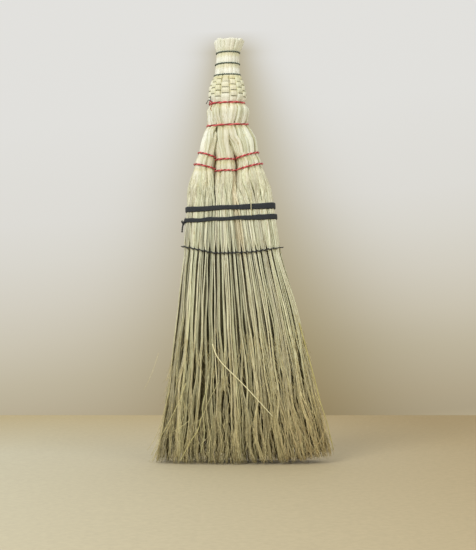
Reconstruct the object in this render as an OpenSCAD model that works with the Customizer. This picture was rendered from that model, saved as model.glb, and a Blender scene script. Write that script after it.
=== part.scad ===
// Hand-tied broomcorn broom. It stands on its trimmed tips, and its front looks along -Y.
// Twenty-nine long stalks make the handle. Below the shoulder they part into three bundles,
// which fourteen short stalks fill out, and their seed-head fibres make one flat sweep.

/* [Overall] */
// Length from the trimmed tips to the cut stalk ends
overall_length = 540; // [520:5:560]
// Width of the sweep at its tips
tip_width = 228; // [216:2:240]
// Depth of the sweep at its tips
tip_depth = 56; // [48:1:64]
// How far the body's middle is set to the left of the tips' middle
body_set = 6; // [4:0.5:8]

/* [Handle] */
// Diameter of the flared cut stalk ends
tuft_d = 39.6; // [37:0.2:42]
// Diameter of the neck under its cords
neck_d = 30.6; // [29:0.2:32]
// Drop from the cut ends to the top neck cord
top_cord_drop = 17; // [15:0.5:19]
// Spacing of the three neck cords
cord_pitch = 14.6; // [14:0.2:15]
// Drop from the cut ends to the neck tie
neck_tie_drop = 83; // [82:0.5:85]
// Drop from the cut ends to the shoulder tie
shoulder_tie_drop = 109; // [107:0.5:111]

/* [Bundles] */
// Drop from the cut ends to the upper bundle tie, at the middle bundle
upper_tie_drop = 153.5; // [152:0.5:155]
// Spacing of the two bundle ties
bundle_tie_pitch = 14.5; // [13:0.5:16]
// Depth of a tied bundle
bundle_depth = 29; // [28:0.5:31]

/* [Sweep] */
// Drop from the cut ends to the middle of the upper band
upper_band_drop = 216; // [212:1:220]
// Spacing of the two bands
band_pitch = 14; // [12:0.5:16]
// Width of the cloth tape in the upper band
band_width = 7; // [6:0.5:8]
// Drop from the cut ends to the stitch row
stitch_drop = 273; // [268:1:278]
// How far the sweep's trimmed corners rise above its middle
corner_rise = 8; // [4:1:12]

/* [Strings] */
// Diameter of the neck cords
cord_d = 1.9; // [1.6:0.1:2.2]
// Diameter of the red ties
tie_d = 2.4; // [2:0.1:2.6]
// Diameter of the woven string
weave_d = 0.9; // [0.8:0.1:1]
// Diameter of the stitching thread
thread_d = 1.3; // [1.1:0.1:1.5]
// Thickness of the cloth tape
tape_t = 0.6; // [0.4:0.1:0.8]

/* [Hidden] */
BUNDLES = ["left", "centre", "right"];
LONG_COUNT = [8, 9, 12];
SHORT_COUNT = [4, 4, 6];

// Heights above the tips
top_cord_z = overall_length - top_cord_drop;
low_cord_z = top_cord_z - 2 * cord_pitch;
neck_tie_z = overall_length - neck_tie_drop;
shoulder_tie_z = overall_length - shoulder_tie_drop;
upper_tie_z = overall_length - upper_tie_drop;
lower_tie_z = upper_tie_z - bundle_tie_pitch;
upper_band_z = overall_length - upper_band_drop;
lower_band_z = upper_band_z - band_pitch;
stitch_z = overall_length - stitch_drop;
// Drops from the cut ends to where the seed heads begin, and to the tops of the short stalks
HEAD_DROP = 194;
SHORT_STALK_DROP = 131;
brush_top_z = overall_length - HEAD_DROP;
short_stalk_top_z = overall_length - SHORT_STALK_DROP;
// Bare stalk between the weave and the strings above and below it
WEAVE_MARGIN = 5;
weave_top_z = low_cord_z - WEAVE_MARGIN;
weave_bottom_z = neck_tie_z + WEAVE_MARGIN;
// Height over the upper bundle tie at which a bundle has its own outline
BUNDLE_RISE = 26;
// Heights over the upper bundle tie of the rings where stalks cross from the handle to a bundle
CROSSING_RISE = [15, 24, 34];

// The handle as one group: [height, middle, half width, half depth]
HANDLE = [
    [upper_tie_z, -body_set, 37, 17],
    [shoulder_tie_z, -body_set, 26, 19],
    [neck_tie_z - 9, -body_set, 28.4, 23],
    [neck_tie_z, -body_set, 22, 20.5],
    [weave_bottom_z + 5, -0.8 * body_set, 24, 22.5],
    [weave_top_z - 10, -0.8 * body_set, 22, 21.5],
    [low_cord_z, -0.7 * body_set, neck_d / 2 + 1, neck_d / 2 + 1],
    [low_cord_z + cord_pitch, -0.55 * body_set, neck_d / 2, neck_d / 2],
    [top_cord_z, -0.35 * body_set, neck_d / 2 - 0.5, neck_d / 2 - 0.5],
    [overall_length, 0, tuft_d / 2, tuft_d / 2]
];
// The ties sit higher on the outer bundles, and climb outwards
TIE_RISE = [6.5, 0, 4];
TIE_SLOPE = [-3.5, 0, 4];
// Each bundle on its own: [height, middle, half width, half depth]
BUNDLE = [
    [
        [brush_top_z, -42.5, 17.2, 15],
        [lower_tie_z + TIE_RISE[0], -38.6, 11.6, bundle_depth / 2],
        [(lower_tie_z + upper_tie_z) / 2 + TIE_RISE[0], -36.8, 12, bundle_depth / 2 + 0.7],
        [upper_tie_z + TIE_RISE[0], -34.8, 9.8, bundle_depth / 2],
        [upper_tie_z + BUNDLE_RISE, -31.6, 8.8, 17]
    ],
    [
        [brush_top_z, -11.2, 13.4, 15],
        [lower_tie_z, -9.6, 11.6, bundle_depth / 2],
        [(lower_tie_z + upper_tie_z) / 2, -9.6, 12.6, bundle_depth / 2 + 0.7],
        [upper_tie_z, -9.8, 11.2, bundle_depth / 2],
        [upper_tie_z + BUNDLE_RISE, -13.4, 9, 17]
    ],
    [
        [brush_top_z, 25, 22, 15.6],
        [lower_tie_z + TIE_RISE[2], 21.6, 15.6, bundle_depth / 2 + 0.5],
        [(lower_tie_z + upper_tie_z) / 2 + TIE_RISE[2], 20.2, 15.4, bundle_depth / 2 + 1],
        [upper_tie_z + TIE_RISE[2], 18.8, 13.4, bundle_depth / 2 + 0.5],
        [upper_tie_z + BUNDLE_RISE, 14.2, 17.4, 17.5]
    ]
];
// The sweep: [height, middle, half width, half depth]
SWEEP = [
    [0, 0, tip_width / 2, tip_depth / 2],
    [0.05 * overall_length, 0, tip_width / 2 - 5.5, tip_depth / 2 - 1],
    [0.15 * overall_length, -0.13 * body_set, tip_width / 2 - 17, 24],
    [0.34 * overall_length, -0.25 * body_set, 80.5, 18.5],
    [stitch_z - 12, -0.9 * body_set, 66.5, 15.6],
    [stitch_z, -0.9 * body_set, 64, 14.4],
    [stitch_z + 14, -body_set, 62.4, 15],
    [lower_band_z, -body_set, 58.4, 14.6],
    [upper_band_z, -body_set, 56.6, 14.6],
    [brush_top_z, -body_set, 54.6, 15.4]
];
// Where the brush of one bundle meets the next: [height, left seam, right seam]
SEAM = [
    [0, -39, 39],
    [stitch_z, -29, 12],
    [brush_top_z, -24.8, 2.6]
];
SEAM_GAP = 0.3;

// Three rings of stalks at the neck, from the outside in. The outside ring holds an odd number,
// so that one spiralling string goes over a stalk on one turn and under it on the next.
OUTSIDE_COUNT = 17;
MIDDLE_COUNT = 9;
CORE_COUNT = 3;
RING_RADIUS = [1, 0.65, 0.21];
RING_COUNT = [OUTSIDE_COUNT, MIDDLE_COUNT, CORE_COUNT];
RING_START = [180, 160, 180];
// Each long stalk's place at the neck, in its bundle's order: [ring, step round the ring]
NECK_SLOT = [
    [[0, 15], [0, 16], [0, 0], [0, 1], [0, 2], [1, 1], [2, 0], [1, 0]],
    [[1, 7], [0, 12], [0, 13], [0, 14], [1, 8], [1, 2], [0, 3], [0, 4], [2, 1]],
    [[0, 9], [0, 10], [0, 11], [1, 6], [2, 2], [1, 5], [1, 4], [1, 3], [0, 5], [0, 6], [0, 7], [0, 8]]
];
// Angle of the first long stalk in each bundle
FIRST_SLOT = [90, 10, 10];
// Place of the short stalks, as a share of their bundle's half width and half depth
INNER_SLOT_RADIUS = 0.42;
// Radius of a short stalk over that of the long ones round it
INNER_SHARE = 0.76;

// Largest radius of a stalk, and the hair's breadth left between neighbours
STALK_R = 3.3;
STALK_GAP = 0.05;
// Radius of the touching outside stalks over the radius of their group
TOUCH_SHARE = sin(180 / OUTSIDE_COUNT) / (1 + sin(180 / OUTSIDE_COUNT));
WEAVE_ROWS = 7;
WEAVE_SIDES = 4;
STRING_SIDES = 6;
TIE_STEPS = 32;
BAND_STEPS = 48;
STITCHES = 36;
STITCH_STEPS = 3;
BRUSH_STEPS = 8;
// Clearance between a string and what it lies on
HAIR_GAP = 0.1;
// How far each stalk gives way to the woven string, over the string's diameter
STRING_ROOM = 0.6;

function mix(a, b, t) = a * (1 - t) + b * t;
function clamp01(t) = max(0, min(1, t));
function smooth(t) = let (c = clamp01(t)) c * c * (3 - 2 * c);
function at(table, z, column) = lookup(z, [for (row = table) [row[0], row[column]]]);

// 0 where the stalks are one group, 1 where they are three bundles
function parted(z) = smooth((shoulder_tie_z + 2 - z) / (shoulder_tie_z - upper_tie_z - 16));
// 1 between the rows of the weave, where the stalks leave room for the string
function woven(z) = z < low_cord_z - 1 && z > neck_tie_z + 1 ? 1 : 0;
function handle_r(z) = min(STALK_R, TOUCH_SHARE * at(HANDLE, z, 2) - woven(z) * STRING_ROOM * weave_d);
function bundle_r(b, z) = let (
    around = 2 * sin(180 / LONG_COUNT[b]),
    half_w = at(BUNDLE[b], z, 2)
) min(STALK_R, half_w * around / (2 + around));
// Stalks thin out where they cross over to their bundles: little on the outside, more inside
CROSSING_THIN = [0.04, 0.3, 0.3];
function stalk_r(b, k, z) = let (p = parted(z), thin = CROSSING_THIN[NECK_SLOT[b][k][0]])
    mix(handle_r(z), bundle_r(b, z), p) * (1 - thin * 4 * p * (1 - p)) - STALK_GAP;

function handle_xy(b, k, z) = let (
    ring = NECK_SLOT[b][k][0],
    angle = RING_START[ring] + NECK_SLOT[b][k][1] * 360 / RING_COUNT[ring],
    share = RING_RADIUS[ring],
    r = handle_r(z)
) [
    at(HANDLE, z, 1) + share * (at(HANDLE, z, 2) - r) * cos(angle),
    share * (at(HANDLE, z, 3) - r) * sin(angle)
];
function bundle_xy(b, z, angle, share) = let (r = bundle_r(b, z)) [
    at(BUNDLE[b], z, 1) + share * (at(BUNDLE[b], z, 2) - r) * cos(angle),
    share * (at(BUNDLE[b], z, 3) - r) * sin(angle)
];
function long_xy(b, k, z) = mix(
    handle_xy(b, k, z),
    bundle_xy(b, z, FIRST_SLOT[b] + k * 360 / LONG_COUNT[b], 1),
    parted(z)
);
function short_xy(b, k, z) = bundle_xy(b, z, (k + 0.5) * 360 / SHORT_COUNT[b], INNER_SLOT_RADIUS);

function tied_heights(b) = let (low = lower_tie_z + TIE_RISE[b], high = upper_tie_z + TIE_RISE[b]) [
    brush_top_z, brush_top_z + 15, low, (low + high) / 2, high
];
function long_heights(b) = concat(tied_heights(b), [
    upper_tie_z + CROSSING_RISE[0], upper_tie_z + CROSSING_RISE[1], upper_tie_z + CROSSING_RISE[2],
    shoulder_tie_z, shoulder_tie_z + 8, neck_tie_z - 9, neck_tie_z, weave_bottom_z + 5,
    weave_top_z - 10, low_cord_z - 2, low_cord_z, top_cord_z - cord_pitch, top_cord_z,
    top_cord_z + 7, overall_length
]);
function short_heights(b) = concat(tied_heights(b), [upper_tie_z + CROSSING_RISE[0], short_stalk_top_z]);

// Skin of rings, open between two caps, with the points of each ring running the same way
module skin(rings) {
    n = len(rings[0]);
    last = len(rings) - 1;
    polyhedron(
        points = [for (ring = rings) for (p = ring) p],
        faces = concat(
            [[for (i = [0:n - 1]) i]],
            [for (j = [0:last - 1]) for (i = [0:n - 1])
                for (face = side_faces(j * n, (j + 1) * n, i, (i + 1) % n)) face],
            [[for (i = [0:n - 1]) last * n + n - 1 - i]]
        )
    );
}
function side_faces(low, high, i, next) = [
    [low + i, high + i, high + next],
    [low + i, high + next, low + next]
];

// Closed loop of rings, each with the same number of points
module loop_skin(rings) {
    n = len(rings[0]);
    count = len(rings);
    polyhedron(
        points = [for (ring = rings) for (p = ring) p],
        faces = [for (j = [0:count - 1]) for (i = [0:n - 1])
            for (face = side_faces(j * n, ((j + 1) % count) * n, i, (i + 1) % n)) face]
    );
}

function stalk_ring(xy, z, r) = [
    for (i = [0:STRING_SIDES - 1]) [
        xy[0] + r * cos(i * 360 / STRING_SIDES),
        xy[1] + r * sin(i * 360 / STRING_SIDES),
        z
    ]
];

module long_stalk(b, k) {
    skin([for (z = long_heights(b)) stalk_ring(long_xy(b, k, z), z, stalk_r(b, k, z))]);
}
module short_stalk(b, k) {
    skin([
        for (z = short_heights(b)) stalk_ring(short_xy(b, k, z), z, INNER_SHARE * bundle_r(b, z) - STALK_GAP)
    ]);
}

// Outline of the sweep at one height, from one x limit to the other and back.
// Its narrow sides are cut off at an angle, and its faces are flatter than an oval's.
EDGE_ANGLE = 8;
FLATNESS = 0.62;
function sweep_angle(z, x) = acos(max(-1, min(1, (x - at(SWEEP, z, 1)) / at(SWEEP, z, 2))));
function sweep_point(z, angle, side) = [
    at(SWEEP, z, 1) + at(SWEEP, z, 2) * cos(angle),
    side * at(SWEEP, z, 3) * pow(sin(angle), FLATNESS),
    z
];
// The tips are level over this share of the half width, and rise beyond it
LEVEL_SHARE = 0.34;
function lift(p) = let (share = abs(p[0]) / (tip_width / 2))
    [p[0], p[1], p[2] + corner_rise * smooth((share - LEVEL_SHARE) / (1 - LEVEL_SHARE))];
function brush_ring(z, from, to, steps) = concat(
    [for (i = [0:steps]) sweep_point(z, mix(from, to, i / steps), -1)],
    [for (i = [steps:-1:0]) sweep_point(z, mix(from, to, i / steps), 1)]
);
function brush_from(b, z) = b == 0 ? 180 - EDGE_ANGLE : sweep_angle(z, at(SEAM, z, b) + SEAM_GAP / 2);
function brush_to(b, z) = b == 2 ? EDGE_ANGLE : sweep_angle(z, at(SEAM, z, b + 1) - SEAM_GAP / 2);

module brush(b) {
    heights = [for (row = SWEEP) row[0]];
    color("darkkhaki") skin([
        for (z = heights) let (ring = brush_ring(z, brush_from(b, z), brush_to(b, z), BRUSH_STEPS))
            z == 0 && b != 1 ? [for (p = ring) lift(p)] : ring
    ]);
}

// One string round an outline: centre line points and outward directions come from the same angle
function string_ring(centre, outward, r, sides) = [
    for (i = [0:sides - 1]) let (a = i * 360 / sides)
        centre + r * (cos(a) * outward - sin(a) * [0, 0, 1])
];
function oval_outward(half_w, half_d, angle) = let (
    n = [cos(angle) / half_w, sin(angle) / half_d, 0]
) n / norm(n);

// A tie laid on a group's outline; its height follows a slope, and a dip at the front and back
module oval_tie(table, z, slope, dip, d) {
    r = d / 2;
    loop_skin([
        for (j = [0:TIE_STEPS - 1]) let (
            a = (j + 0.5) * 360 / TIE_STEPS,
            height = z + slope * cos(a) - dip * abs(sin(a)),
            half_w = at(table, height, 2) + HAIR_GAP,
            half_d = at(table, height, 3) + HAIR_GAP
        ) string_ring(
            [at(table, height, 1) + (half_w + r) * cos(a), (half_d + r) * sin(a), height],
            oval_outward(half_w, half_d, a), r, STRING_SIDES
        )
    ]);
}

module neck_cord(z) {
    color("darkslategray")
        translate([at(HANDLE, z, 1), 0, z])
            rotate_extrude($fn = 72)
                translate([at(HANDLE, z, 2) + cord_d / 2, 0])
                    circle(d = cord_d, $fn = 24);
}

// A small knot with its cut tail hanging below
module knot(r, tail_length) {
    rotate_extrude($fn = 32)
        polygon([
            [0, r], [0.7 * r, 0.7 * r], [r, 0], [0.7 * r, -0.7 * r], [0.35 * r, -r],
            [0.5 * r, -r - 0.8 * tail_length], [0.3 * r, -r - tail_length], [0, -r - tail_length]
        ]);
}

// The string spirals down, over one stalk and under the next. Each stalk has two steps, and each gap one.
STEP_PLACE = [-0.24, 0.24, 0.5];
STEPS = len(STEP_PLACE);
function weave_turn(step) = (floor(step / STEPS) + STEP_PLACE[step % STEPS]) / OUTSIDE_COUNT;
function weave_centre(step) = let (
    turn = weave_turn(step),
    angle = RING_START[0] + 360 * turn,
    z = mix(weave_top_z, weave_bottom_z, turn / WEAVE_ROWS),
    outside = at(HANDLE, z, 2) + weave_d / 2 + HAIR_GAP,
    inside = at(HANDLE, z, 2) - 2 * handle_r(z) - weave_d / 2 - HAIR_GAP,
    side = step % STEPS == 2 ? 0.5 : floor(step / STEPS) % 2,
    reach = mix(inside, outside, side),
    squash = at(HANDLE, z, 3) / at(HANDLE, z, 2)
) [at(HANDLE, z, 1) + reach * cos(angle), squash * reach * sin(angle), z];
module weave_string() {
    last = WEAVE_ROWS * STEPS * OUTSIDE_COUNT - 2;
    tail = [[-1.5, -2, -0.5], [-3.5, -3, -3], [-5, -3, -6]];
    tail_side = [-0.5, 0.86, 0];
    end = weave_centre(last);
    color("dimgray") skin(concat(
        [
            for (step = [0:last]) string_ring(
                weave_centre(step), oval_outward(1, 1, RING_START[0] + 360 * weave_turn(step)),
                weave_d / 2, WEAVE_SIDES
            )
        ],
        [for (offset = tail) string_ring(end + offset, tail_side, weave_d / 2, WEAVE_SIDES)]
    ));
}

module neck_tie() {
    knot_r = 0.7 * tie_d;
    tail_length = 6;
    tail_tilt = 50;
    knot_x = at(HANDLE, neck_tie_z, 1) - at(HANDLE, neck_tie_z, 2) - tie_d - knot_r - 3 * HAIR_GAP;
    color("firebrick") {
        oval_tie(HANDLE, neck_tie_z, 0, 0, tie_d);
        translate([knot_x, 0, neck_tie_z])
            rotate([0, tail_tilt, 0])
                knot(knot_r, tail_length);
    }
}
module shoulder_tie() {
    color("firebrick") oval_tie(HANDLE, shoulder_tie_z + 0.5, 0.4, 1.6, tie_d);
}
module bundle_tie(z) {
    color("firebrick")
        for (b = [0:2])
            oval_tie(BUNDLE[b], z + TIE_RISE[b], TIE_SLOPE[b], 0, tie_d);
}

// A flat tape laid on the outline of the sweep
function around_sweep(z, step, steps, stand_off) = let (
    a = 360 * step / steps,
    side = sin(a) < 0 ? -1 : 1,
    half_w = at(SWEEP, z, 2) + stand_off,
    half_d = at(SWEEP, z, 3) + stand_off
) [at(SWEEP, z, 1) + half_w * cos(a), side * half_d * pow(abs(sin(a)), FLATNESS)];
module tape_band(z, width_at, slope) {
    lay = 0.5;
    loop_skin([
        for (j = [0:BAND_STEPS - 1]) let (
            inner = around_sweep(z, j + 0.5, BAND_STEPS, lay),
            outer = around_sweep(z, j + 0.5, BAND_STEPS, lay + tape_t),
            half = lookup(inner[0], width_at) / 2,
            rise = slope * (inner[0] + body_set) / 100
        ) [
            [inner[0], inner[1], z + rise - half],
            [inner[0], inner[1], z + rise + half],
            [outer[0], outer[1], z + rise + half],
            [outer[0], outer[1], z + rise - half]
        ]
    ]);
}
module upper_band() {
    color("darkslategray")
        tape_band(upper_band_z, [[-60, band_width], [-6, 0.82 * band_width], [48, 1.15 * band_width]], 1);
}
module lower_band() {
    knot_r = 2.4;
    knot_drop = 4;
    tail_length = 11;
    edge_x = around_sweep(lower_band_z, 0.5, 1, 2 * HAIR_GAP + tape_t)[0];
    color("darkslategray") {
        tape_band(
            lower_band_z,
            [
                [-60, 0.8 * band_width], [-30, 0.7 * band_width], [-5, 0.65 * band_width],
                [25, 0.9 * band_width], [48, band_width]
            ],
            0
        );
        translate([edge_x - knot_r - 4 * HAIR_GAP, 0, lower_band_z - knot_drop])
            knot(knot_r, tail_length);
    }
}

// The thread lies round the sweep in short slanting stitches
module stitch_thread() {
    steps = STITCH_STEPS * STITCHES;
    r = thread_d / 2;
    lay = 0.4;
    middle_dip = 3;
    end_rise = 5;
    slant_reach = 0.8;
    color("black") loop_skin([
        for (j = [0:steps - 1]) let (
            p = around_sweep(stitch_z, j + 0.5, steps, r + lay),
            a = 360 * (j + 0.5) / steps,
            across = (p[0] - at(SWEEP, stitch_z, 1)) / at(SWEEP, stitch_z, 2),
            slant = slant_reach * sin(360 * (j + 0.5) / STITCH_STEPS)
        ) string_ring(
            [p[0], p[1], stitch_z - middle_dip + end_rise * across * across + slant],
            oval_outward(at(SWEEP, stitch_z, 2), at(SWEEP, stitch_z, 3), a), r, WEAVE_SIDES
        )
    ]);
}

for (b = [0:2]) {
    for (k = [1:LONG_COUNT[b]])
        color("palegoldenrod") long_stalk(b, k - 1);
    for (k = [1:SHORT_COUNT[b]])
        color("wheat") short_stalk(b, k - 1);
    brush(b);
}
neck_cord(top_cord_z);  // top_neck_cord
neck_cord(top_cord_z - cord_pitch);  // middle_neck_cord
neck_cord(low_cord_z);  // lower_neck_cord
weave_string();
neck_tie();
shoulder_tie();
bundle_tie(upper_tie_z);  // upper_bundle_tie
bundle_tie(lower_tie_z);  // lower_bundle_tie
upper_band();
lower_band();
stitch_thread();
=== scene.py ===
import math

import bpy
import numpy as np
from mathutils import Matrix, Vector


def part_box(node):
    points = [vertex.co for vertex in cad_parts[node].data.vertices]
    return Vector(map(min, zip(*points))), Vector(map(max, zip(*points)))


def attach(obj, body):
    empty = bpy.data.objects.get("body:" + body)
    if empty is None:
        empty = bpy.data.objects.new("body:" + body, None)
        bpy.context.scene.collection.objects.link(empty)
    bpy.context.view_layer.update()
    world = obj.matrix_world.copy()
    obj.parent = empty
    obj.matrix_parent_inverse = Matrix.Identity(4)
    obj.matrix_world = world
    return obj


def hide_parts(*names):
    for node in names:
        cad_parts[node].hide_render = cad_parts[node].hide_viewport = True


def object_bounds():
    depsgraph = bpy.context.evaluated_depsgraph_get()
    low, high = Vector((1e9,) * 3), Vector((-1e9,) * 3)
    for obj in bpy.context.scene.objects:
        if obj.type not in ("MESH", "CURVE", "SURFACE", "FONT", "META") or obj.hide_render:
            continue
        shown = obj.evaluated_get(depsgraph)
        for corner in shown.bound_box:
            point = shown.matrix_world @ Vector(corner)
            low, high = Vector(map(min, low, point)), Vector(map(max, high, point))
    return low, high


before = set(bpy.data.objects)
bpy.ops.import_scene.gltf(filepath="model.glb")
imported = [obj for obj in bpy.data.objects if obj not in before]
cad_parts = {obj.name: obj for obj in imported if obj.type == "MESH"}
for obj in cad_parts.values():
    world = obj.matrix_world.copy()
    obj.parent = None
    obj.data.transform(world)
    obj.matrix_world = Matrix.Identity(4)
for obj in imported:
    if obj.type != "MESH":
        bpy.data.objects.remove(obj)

# Geometry is worked out in millimetres, in the CAD frame, and made in metres.
MM = 0.001
CAD_BOX = [list(corner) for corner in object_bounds()]
BUNDLES = ("left", "centre", "right")
FRONT = np.array([0.0, -1.0])
UP = np.array([0.0, 0.0, 1.0])
rng = np.random.default_rng(20)


# ---------------- numbers
def srgb(red, green, blue):
    """A display colour of 0 to 255 as the linear numbers that shaders use."""
    c = np.array([red, green, blue]) / 255
    return np.where(c <= 0.04045, c / 12.92, ((c + 0.055) / 1.055) ** 2.4)


def smooth(t):
    t = np.clip(t, 0, 1)
    return t * t * (3 - 2 * t)


def hump(z, middle, width):
    return np.exp(-(((z - middle) / width) ** 2))


def unit(v):
    return v / np.maximum(np.linalg.norm(v, axis=-1, keepdims=True), 1e-9)


def curve_through(z, known_z, values):
    """A smooth curve through values at rising heights, with no overshoot and level ends."""
    rise = np.diff(values, axis=0) / np.diff(known_z).reshape([-1] + [1] * (values.ndim - 1))
    before, after = rise[:-1], rise[1:]
    same_way = before * after > 0
    inner = np.where(same_way, 2 * before * after / np.where(same_way, before + after, 1), 0)
    slopes = np.concatenate([rise[:1], inner, rise[-1:]])
    i = np.clip(np.searchsorted(known_z, z) - 1, 0, len(known_z) - 2)
    step = known_z[i + 1] - known_z[i]
    t = np.clip((z - known_z[i]) / step, 0, 1)
    if values.ndim > 1:
        t, step = t[..., None], step[..., None]
    near, far = (1 + 2 * t) * (1 - t) ** 2, t * t * (3 - 2 * t)
    return (
        near * values[i] + far * values[i + 1]
        + step * (t * (1 - t) ** 2 * slopes[i] - t * t * (1 - t) * slopes[i + 1])
    )


def smooth_line(points, count):
    """A smooth line of count points through the given ones."""
    knots = np.arange(len(points), dtype=float)
    return curve_through(np.linspace(0, knots[-1], count), knots, np.asarray(points, float))


def waves(z, count, lengths, member=None):
    """Sideways wander for count paths: three sine waves each, the same ones for paths with one member number."""
    member = np.arange(count) if member is None else member
    total = np.zeros((count, z.shape[-1]))
    for share in (0.6, 0.3, 0.15):
        length = rng.uniform(*lengths, (member.max() + 1, 1)) * (0.4 + share)
        phase = rng.random((member.max() + 1, 1))
        total += share * np.sin(2 * math.pi * (z / length[member] + phase[member]))
    return total


# ---------------- meshes
class Shape:
    """Points, faces and a colour for each point, gathered from many tubes into one mesh."""

    def __init__(self):
        self.points, self.faces, self.tints, self.size = [], [], [], 0

    def add(self, points, faces, tints):
        self.points.append(points)
        self.tints.append(np.broadcast_to(tints, points.shape))
        self.faces += [f + self.size for f in faces if len(f)]
        self.size += len(points)

    def build(self, name, material, replaced=()):
        loops = np.concatenate([f.ravel() for f in self.faces]).astype(np.int32)
        sides = np.concatenate([np.full(len(f), f.shape[1]) for f in self.faces])
        starts = np.concatenate([[0], np.cumsum(sides)[:-1]]).astype(np.int32)
        mesh = bpy.data.meshes.new(name)
        mesh.vertices.add(self.size)
        mesh.vertices.foreach_set("co", (np.concatenate(self.points) * MM).astype(np.float32).ravel())
        mesh.loops.add(len(loops))
        mesh.loops.foreach_set("vertex_index", loops)
        mesh.polygons.add(len(starts))
        mesh.polygons.foreach_set("loop_start", starts)
        mesh.update(calc_edges=True)
        mesh.polygons.foreach_set("use_smooth", np.ones(len(starts), bool))
        tint = mesh.color_attributes.new("tint", "FLOAT_COLOR", "POINT")
        colours = np.concatenate(self.tints)
        tint.data.foreach_set("color", np.c_[colours, np.ones(len(colours))].astype(np.float32).ravel())
        mesh.materials.append(material)
        piece = bpy.data.objects.new(name, mesh)
        bpy.context.scene.collection.objects.link(piece)
        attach(piece, "root")
        if replaced:
            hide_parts(*replaced)


def frames(paths, reference, closed=False):
    """The two directions across each path, square to its run. The second is nearest the reference."""
    if closed:
        run = np.roll(paths, -1, 1) - np.roll(paths, 1, 1)
    else:
        run = np.gradient(paths, axis=1)
    run = unit(run)
    across = unit(np.cross(run, np.broadcast_to(reference, run.shape)))
    return across, np.cross(across, run)


def quads_between(low, high):
    """Four-sided faces between two sets of rings, whose point numbers run round the last axis."""
    return np.stack([low, high, np.roll(high, -1, -1), np.roll(low, -1, -1)], -1).reshape(-1, 4)


def tubes(paths, radii, sides, tints, reference, closed=False, spin=0.0):
    """Tubes along many paths at once. radii may differ by path, ring and side, and tints by path and ring."""
    count, rings = paths.shape[:2]
    across, outward = frames(paths, reference, closed)
    angle = (np.arange(sides) + spin) * 2 * math.pi / sides
    radii = radii if np.ndim(radii) == 3 else np.asarray(radii)[..., None]
    radii = np.broadcast_to(radii, (count, rings, sides))
    points = paths[:, :, None] + radii[..., None] * (
        np.cos(angle)[:, None] * across[:, :, None] + np.sin(angle)[:, None] * outward[:, :, None]
    )
    index = np.arange(count * rings * sides).reshape(count, rings, sides)
    low, high = (index, np.roll(index, -1, 1)) if closed else (index[:, :-1], index[:, 1:])
    ends = [] if closed else [index[:, 0], index[:, -1, ::-1]]
    tints = np.asarray(tints)
    tints = np.broadcast_to(tints[:, :, None] if tints.ndim == 3 else tints, (count, rings, sides, 3))
    return points.reshape(-1, 3), [quads_between(low, high), *ends], tints.reshape(-1, 3)


def even_steps(path, step, closed=False):
    """The same line with points a step apart, or as near as makes whole steps."""
    line = np.vstack([path, path[:1]]) if closed else path
    along = np.concatenate([[0], np.cumsum(np.linalg.norm(np.diff(line, axis=0), axis=1))])
    count = max(3, round(along[-1] / step))
    places = np.linspace(0, along[-1], count + 1)[: count if closed else None]
    return np.stack([np.interp(places, along, line[:, k]) for k in range(3)], 1), along[-1]


# Distance of each ply from a twine's middle, and its radius, as shares of the twine's diameter
PLY_OFFSET, PLY_RADIUS = 0.25, 0.3


def add_twine(shape, path, diameter, pitch, colours, closed=True, steps_a_turn=10):
    """A twisted cord: one tube for each ply, wound round the path once in each pitch."""
    line, length = even_steps(np.asarray(path, float), pitch / steps_a_turn, closed)
    across, outward = frames(line[None], UP, closed)
    places = np.linspace(0, 1, len(line), endpoint=not closed)
    turns = max(1, round(length / pitch)) if closed else length / pitch
    for ply, colour in enumerate(colours):
        turn = 2 * math.pi * (turns * places + ply / len(colours))[:, None]
        wound = line + PLY_OFFSET * diameter * (np.cos(turn) * across[0] + np.sin(turn) * outward[0])
        wear = 1 + 0.12 * np.sin(9 * turn + ply)
        radii = np.full((1, len(line)), PLY_RADIUS * diameter)
        shape.add(*tubes(wound[None], radii, 8, (colour * wear)[None], UP, closed))


# ---------------- materials
class Graph:
    """The nodes of a material or world, with one call that adds a node, sets its values and links its inputs."""

    def __init__(self, owner):
        owner.use_nodes = True
        self.owner, self.nodes, self.links = owner, owner.node_tree.nodes, owner.node_tree.links

    def set(self, node, inputs):
        for socket, value in inputs.items():
            if isinstance(value, bpy.types.NodeSocket):
                self.links.new(value, node.inputs[socket])
            else:
                node.inputs[socket].default_value = (*value, 1) if isinstance(value, np.ndarray) else value

    def add(self, kind, inputs=(), output=None, **settings):
        """A new node's output of that name, or all its outputs."""
        node = self.nodes.new("ShaderNode" + kind)
        for name, value in settings.items():
            setattr(node, name, value)
        self.set(node, dict(inputs))
        return node.outputs[output] if output else node.outputs

    def maths(self, operation, *values):
        return self.add("Math", enumerate(values), "Value", operation=operation)

    def remap(self, value, old=(0, 1), new=(0, 1)):
        ends = {"From Min": old[0], "From Max": old[1], "To Min": new[0], "To Max": new[1]}
        return self.add("MapRange", {"Value": value, **ends}, "Result")

    def mix(self, first, second, factor=1.0, blend="MIX"):
        sockets = {"Factor": factor, "A": first, "B": second}
        return self.add("Mix", sockets, "Result", data_type="RGBA", blend_type=blend)

    def ramp(self, factor, stops):
        """A colour that follows the factor through stops, each a position and a linear colour."""
        node = self.nodes.new("ShaderNodeValToRGB")
        elements = node.color_ramp.elements
        while len(elements) < len(stops):
            elements.new(0.5)
        for element, (position, colour) in zip(elements, stops):
            element.position, element.color = position, (*colour, 1)
        self.set(node, {"Fac": factor})
        return node.outputs["Color"]

    def surface(self, colour, height, bump, bump_depth, uneven, roughness, same_all_over):
        """The Principled shader's colour, bump and roughness from nodes, and its other inputs as plain values."""
        normal = self.add("Bump", {"Strength": bump, "Distance": bump_depth, "Height": height}, "Normal")
        driven = {"Base Color": colour, "Roughness": self.remap(uneven, new=roughness), "Normal": normal}
        self.set(self.nodes["Principled BSDF"], {**driven, **same_all_over})
        return self.owner


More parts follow.
